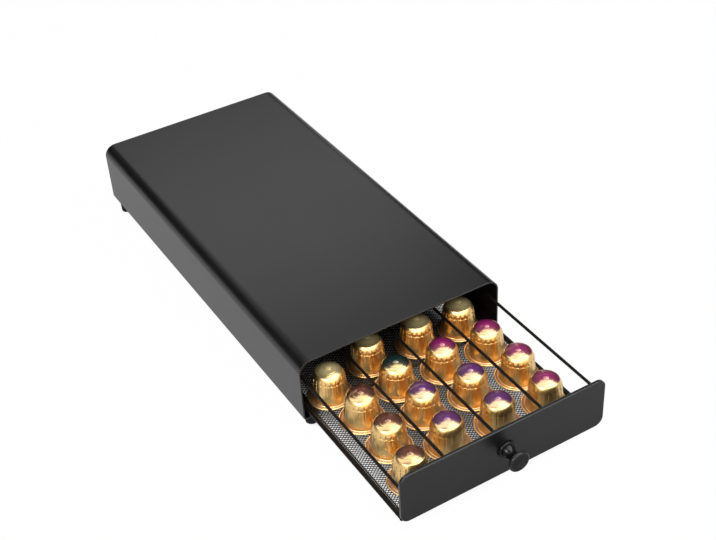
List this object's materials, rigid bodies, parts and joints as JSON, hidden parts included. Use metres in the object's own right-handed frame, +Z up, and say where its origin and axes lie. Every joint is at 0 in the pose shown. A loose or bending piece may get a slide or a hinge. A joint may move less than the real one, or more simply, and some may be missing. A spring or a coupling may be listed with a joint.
{
  "type": "coffee pod drawer",
  "caption": "Low black steel casing with a wire-framed sliding drawer: mesh floor, wire dividers, rounded front panel with a turned knob, and coffee pods standing in columns.",
  "frame": {"origin": "Middle of the whole object's footprint with the drawer open as shown, at the level of the feet's treads", "axes": "+X to the right of someone facing the drawer, +Y from the drawer's front to the back of the casing, +Z up"},
  "size_m": [0.186, 0.5364, 0.0673],
  "materials": {
    "powder_coat": "satin black powder coat on sheet steel",
    "coated_wire": "black powder coat on steel wire and expanded metal",
    "foot_rubber": "matt black rubber",
    "knob_black": "semi-gloss black, turned",
    "zinc_plate": "bright zinc plate",
    "pod_gold": "gold lacquered thin aluminium"
  },
  "bodies": {
    "casing": {"casing_shell": "powder_coat", "back_panel": "powder_coat", "runner_left": "coated_wire", "runner_right": "coated_wire", "foot_front_left": "foot_rubber", "foot_front_right": "foot_rubber", "foot_rear_left": "foot_rubber", "foot_rear_right": "foot_rubber"},
    "drawer": {"front_panel": "powder_coat", "knob": "knob_black", "knob_screw": "zinc_plate", "floor_frame": "coated_wire", "mesh_floor": "coated_wire", "top_rail": "coated_wire", "rear_post_left": "coated_wire", "rear_post_right": "coated_wire", "divider_left": "coated_wire", "divider_centre": "coated_wire", "divider_right": "coated_wire", "pod_1_1": "pod_gold", "pod_1_2": "pod_gold", "pod_1_3": "pod_gold", "pod_1_4": "pod_gold", "pod_2_1": "pod_gold", "pod_2_2": "pod_gold", "pod_2_3": "pod_gold", "pod_2_4": "pod_gold", "pod_3_1": "pod_gold", "pod_3_2": "pod_gold", "pod_3_3": "pod_gold", "pod_3_4": "pod_gold", "pod_4_1": "pod_gold", "pod_4_2": "pod_gold", "pod_4_3": "pod_gold", "pod_4_4": "pod_gold"}
  },
  "joints": [
    {"name": "drawer_slide", "type": "slide", "parent": "casing", "child": "drawer", "axis": [0, -1, 0], "range_m": [-0.1373, 0.1727]}
  ]
}
